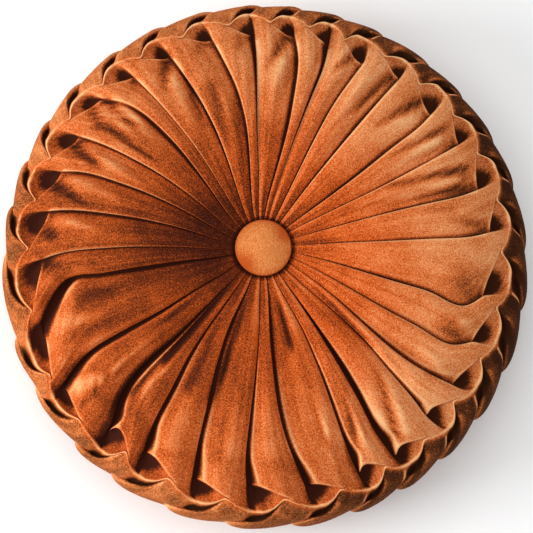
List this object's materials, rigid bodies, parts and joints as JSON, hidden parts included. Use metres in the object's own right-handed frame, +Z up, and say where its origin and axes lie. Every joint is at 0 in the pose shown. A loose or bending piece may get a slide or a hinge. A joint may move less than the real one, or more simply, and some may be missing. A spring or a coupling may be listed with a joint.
{
  "type": "round throw pillow",
  "caption": "Round velvet throw pillow, pleated from a covered centre button out to a smocked rim of small cups.",
  "frame": {"origin": "on the surface that the pillow lies on, under the middle of its outline", "axes": "+Z up out of the front face with its button, -Y towards the bottom of the picture"},
  "size_m": [0.3787, 0.3793, 0.1001],
  "materials": {
    "velvet_cover": "burnt orange velvet with a short pile, dark in the folds and pale along their edges",
    "velvet_button": "the same velvet stretched smooth over a button, so it looks paler"
  },
  "bodies": {
    "root": {"pleated_cover": "velvet_cover", "front_button": "velvet_button", "back_button": "velvet_button"}
  },
  "joints": []
}
